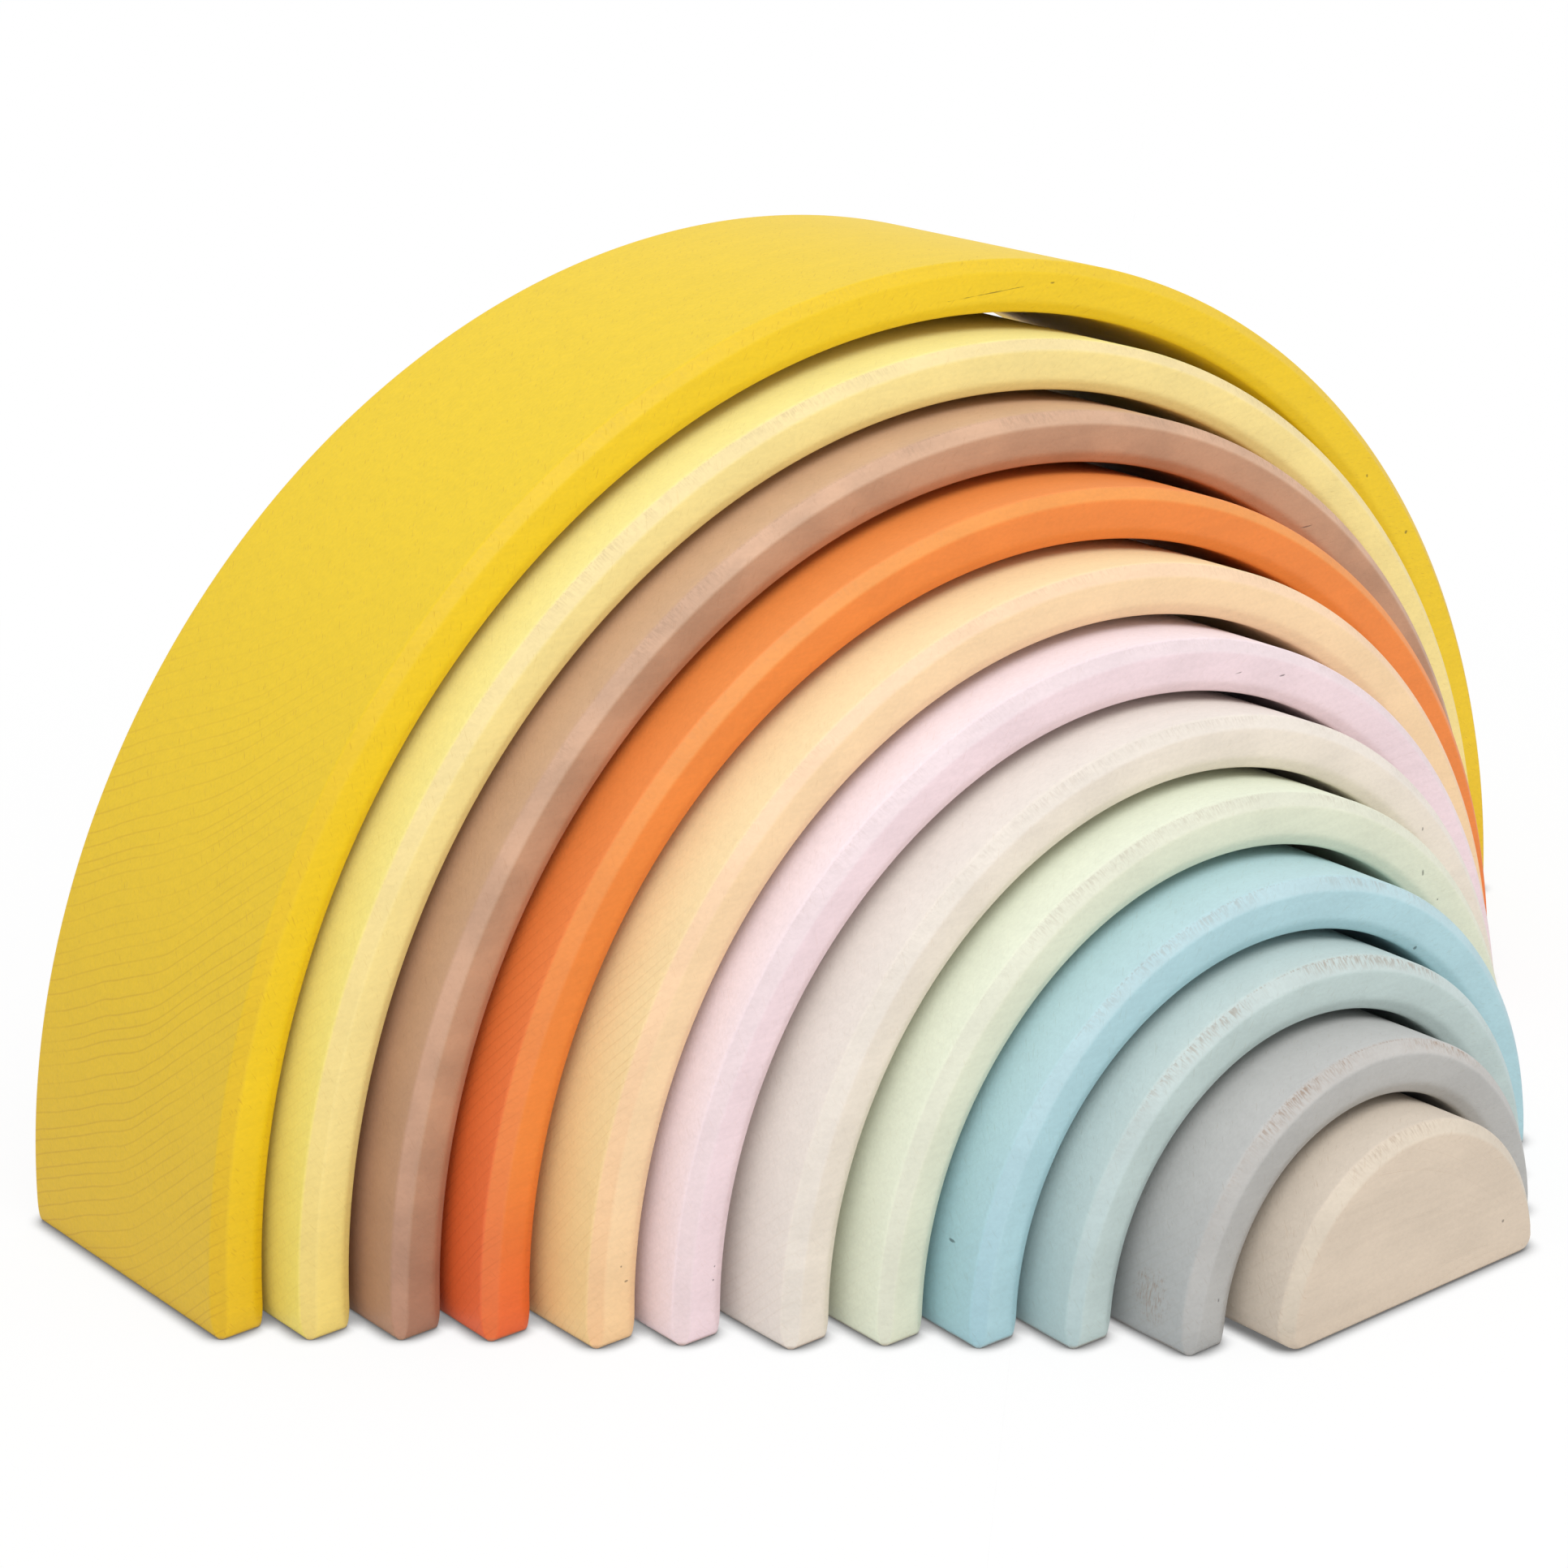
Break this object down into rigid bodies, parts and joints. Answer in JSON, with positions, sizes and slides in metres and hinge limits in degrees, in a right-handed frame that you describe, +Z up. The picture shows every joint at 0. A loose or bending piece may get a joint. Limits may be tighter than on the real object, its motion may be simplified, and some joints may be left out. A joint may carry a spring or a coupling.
{
  "type": "rainbow stacker",
  "caption": "Wooden rainbow stacking toy: coloured half-round arches nested one inside another around a solid half-round, each arch sliding in the tunnel of the arch around it.",
  "frame": {"origin": "on the floor under the middle of the set as it stands in the picture", "axes": "+X to the right along the width, +Y from the front to the back along the depth, +Z up"},
  "size_m": [0.36, 0.21, 0.18],
  "materials": {
    "yellow_paint": "thin matt paint on sanded wood, grain showing through",
    "pale_yellow_paint": "thin matt paint on sanded wood, grain showing through",
    "taupe_paint": "thin matt paint on sanded wood, grain showing through",
    "orange_paint": "thin matt paint on sanded wood, grain showing through",
    "peach_paint": "thin matt paint on sanded wood, grain showing through",
    "pink_paint": "thin matt paint on sanded wood, grain showing through",
    "cream_paint": "thin matt paint on sanded wood, grain showing through",
    "green_paint": "thin matt paint on sanded wood, grain showing through",
    "blue_paint": "thin matt paint on sanded wood, grain showing through",
    "teal_paint": "thin matt paint on sanded wood, grain showing through",
    "grey_paint": "thin matt paint on sanded wood, grain showing through",
    "sand_paint": "thin matt paint on sanded wood, grain showing through"
  },
  "bodies": {
    "yellow_arch": {"yellow_arch": "yellow_paint"},
    "pale_yellow_arch": {"pale_yellow_arch": "pale_yellow_paint"},
    "taupe_arch": {"taupe_arch": "taupe_paint"},
    "orange_arch": {"orange_arch": "orange_paint"},
    "peach_arch": {"peach_arch": "peach_paint"},
    "pink_arch": {"pink_arch": "pink_paint"},
    "cream_arch": {"cream_arch": "cream_paint"},
    "green_arch": {"green_arch": "green_paint"},
    "blue_arch": {"blue_arch": "blue_paint"},
    "teal_arch": {"teal_arch": "teal_paint"},
    "grey_arch": {"grey_arch": "grey_paint"},
    "sand_half_round": {"sand_half_round": "sand_paint"}
  },
  "joints": [
    {"name": "pale_yellow_slide", "type": "slide", "parent": "yellow_arch", "child": "pale_yellow_arch", "axis": [0, -1, 0], "range_m": [-0.0895, 0.0665]},
    {"name": "taupe_slide", "type": "slide", "parent": "pale_yellow_arch", "child": "taupe_arch", "axis": [0, -1, 0], "range_m": [-0.0895, 0.0665]},
    {"name": "orange_slide", "type": "slide", "parent": "taupe_arch", "child": "orange_arch", "axis": [0, -1, 0], "range_m": [-0.092, 0.064]},
    {"name": "peach_slide", "type": "slide", "parent": "orange_arch", "child": "peach_arch", "axis": [-0.0156, -0.9999, 0], "range_m": [-0.0915, 0.0645]},
    {"name": "pink_slide", "type": "slide", "parent": "peach_arch", "child": "pink_arch", "axis": [0, -1, 0], "range_m": [-0.0895, 0.0665]},
    {"name": "cream_slide", "type": "slide", "parent": "pink_arch", "child": "cream_arch", "axis": [-0.0156, -0.9999, 0], "range_m": [-0.091, 0.065]},
    {"name": "green_slide", "type": "slide", "parent": "cream_arch", "child": "green_arch", "axis": [0, -1, 0], "range_m": [-0.0895, 0.0665]},
    {"name": "blue_slide", "type": "slide", "parent": "green_arch", "child": "blue_arch", "axis": [-0.0104, -0.9999, 0], "range_m": [-0.0925, 0.0635]},
    {"name": "teal_slide", "type": "slide", "parent": "blue_arch", "child": "teal_arch", "axis": [-0.0416, -0.9991, 0], "range_m": [-0.089, 0.067]},
    {"name": "grey_slide", "type": "slide", "parent": "teal_arch", "child": "grey_arch", "axis": [-0.0364, -0.9993, 0], "range_m": [-0.092, 0.064]},
    {"name": "sand_slide", "type": "slide", "parent": "grey_arch", "child": "sand_half_round", "axis": [0, -1, 0], "range_m": [-0.089, 0.067]}
  ]
}
